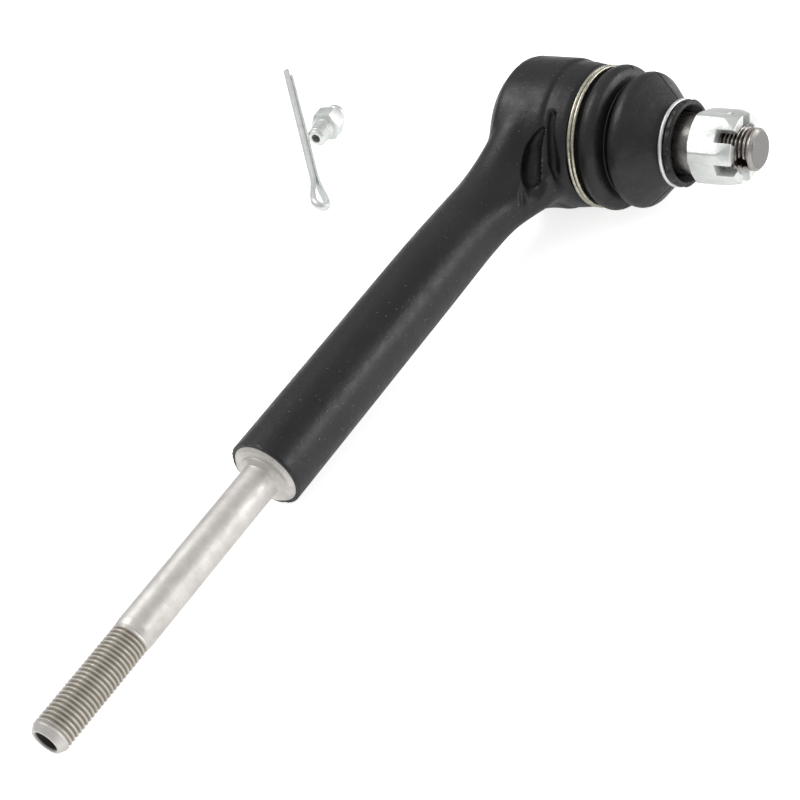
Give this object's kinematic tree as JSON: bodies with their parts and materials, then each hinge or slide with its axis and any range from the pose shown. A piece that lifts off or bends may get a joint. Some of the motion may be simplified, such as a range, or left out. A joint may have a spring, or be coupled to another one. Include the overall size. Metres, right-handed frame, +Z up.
{
  "type": "tie rod end",
  "caption": "Steering tie rod end: forged ball joint housing with long stem and threaded rod, rubber boot, ball stud and castle nut, with loose cotter pin and grease nipple.",
  "frame": {"origin": "middle of the end cover's outer face, on the stud's axis", "axes": "+Y along the ball stud towards its threaded end; +X along the stem towards the threaded rod, apart from the 4.2 degrees that the stem slopes down to the surface; +Z up with the part lying on its side"},
  "size_m": [0.2709, 0.203, 0.0433],
  "materials": {
    "black_paint": "semi-gloss black paint on a forging",
    "turned_steel": "bare machined steel",
    "stud_steel": "ground and rolled steel",
    "boot_rubber": "matt moulded rubber",
    "spring_steel": "yellow-grey spring wire",
    "zinc_plate": "bright zinc plate",
    "bearing_plastic": "natural acetal"
  },
  "bodies": {
    "housing": {"tie_rod_housing": "black_paint", "end_cover": "turned_steel", "preload_spring_washer": "spring_steel", "rear_bearing_seat": "bearing_plastic", "front_bearing_seat": "bearing_plastic", "dust_boot_base_lobe": "boot_rubber", "boot_large_wire_ring": "spring_steel"},
    "boot_neck": {"dust_boot_neck_lobe": "boot_rubber"},
    "neck_ring": {"boot_neck_ring": "zinc_plate"},
    "stud": {"ball_stud": "stud_steel"},
    "nut": {"castle_nut": "zinc_plate"},
    "loose_cotter_pin": {"cotter_pin": "zinc_plate"},
    "loose_grease_nipple": {"grease_nipple_body": "zinc_plate", "nipple_check_spring": "spring_steel"},
    "check_ball": {"nipple_check_ball": "stud_steel"}
  },
  "joints": [
    {"name": "stud_swing", "type": "hinge", "parent": "housing", "child": "boot_neck", "pos_m": [0, 0.015, 0], "axis": [0, 0, 1], "range_deg": [-20, 20], "deforming": ["dust_boot_base_lobe", "dust_boot_neck_lobe"]},
    {"name": "stud_rock", "type": "hinge", "parent": "boot_neck", "child": "neck_ring", "pos_m": [0, 0.015, 0], "axis": [1, 0, 0], "range_deg": [-20, 20]},
    {"name": "stud_spin", "type": "hinge", "parent": "neck_ring", "child": "stud", "pos_m": [0, 0.015, 0], "axis": [0, 1, 0], "continuous": true},
    {"name": "nut_unscrew", "type": "slide", "parent": "stud", "child": "nut", "axis": [0, 1, 0], "range_m": [0, 0.02]},
    {"name": "cotter_pin_lift", "type": "slide", "parent": "housing", "child": "loose_cotter_pin", "axis": [0, 0, 1], "range_m": [0, 0.05]},
    {"name": "grease_nipple_lift", "type": "slide", "parent": "housing", "child": "loose_grease_nipple", "axis": [0, 0, 1], "range_m": [0, 0.05]},
    {"name": "check_ball_press", "type": "slide", "parent": "loose_grease_nipple", "child": "check_ball", "axis": [0.9848, 0.1736, 0], "range_m": [0, 0.0008], "stiffness_N_per_m": 100, "springref_m": -0.0005}
  ]
}
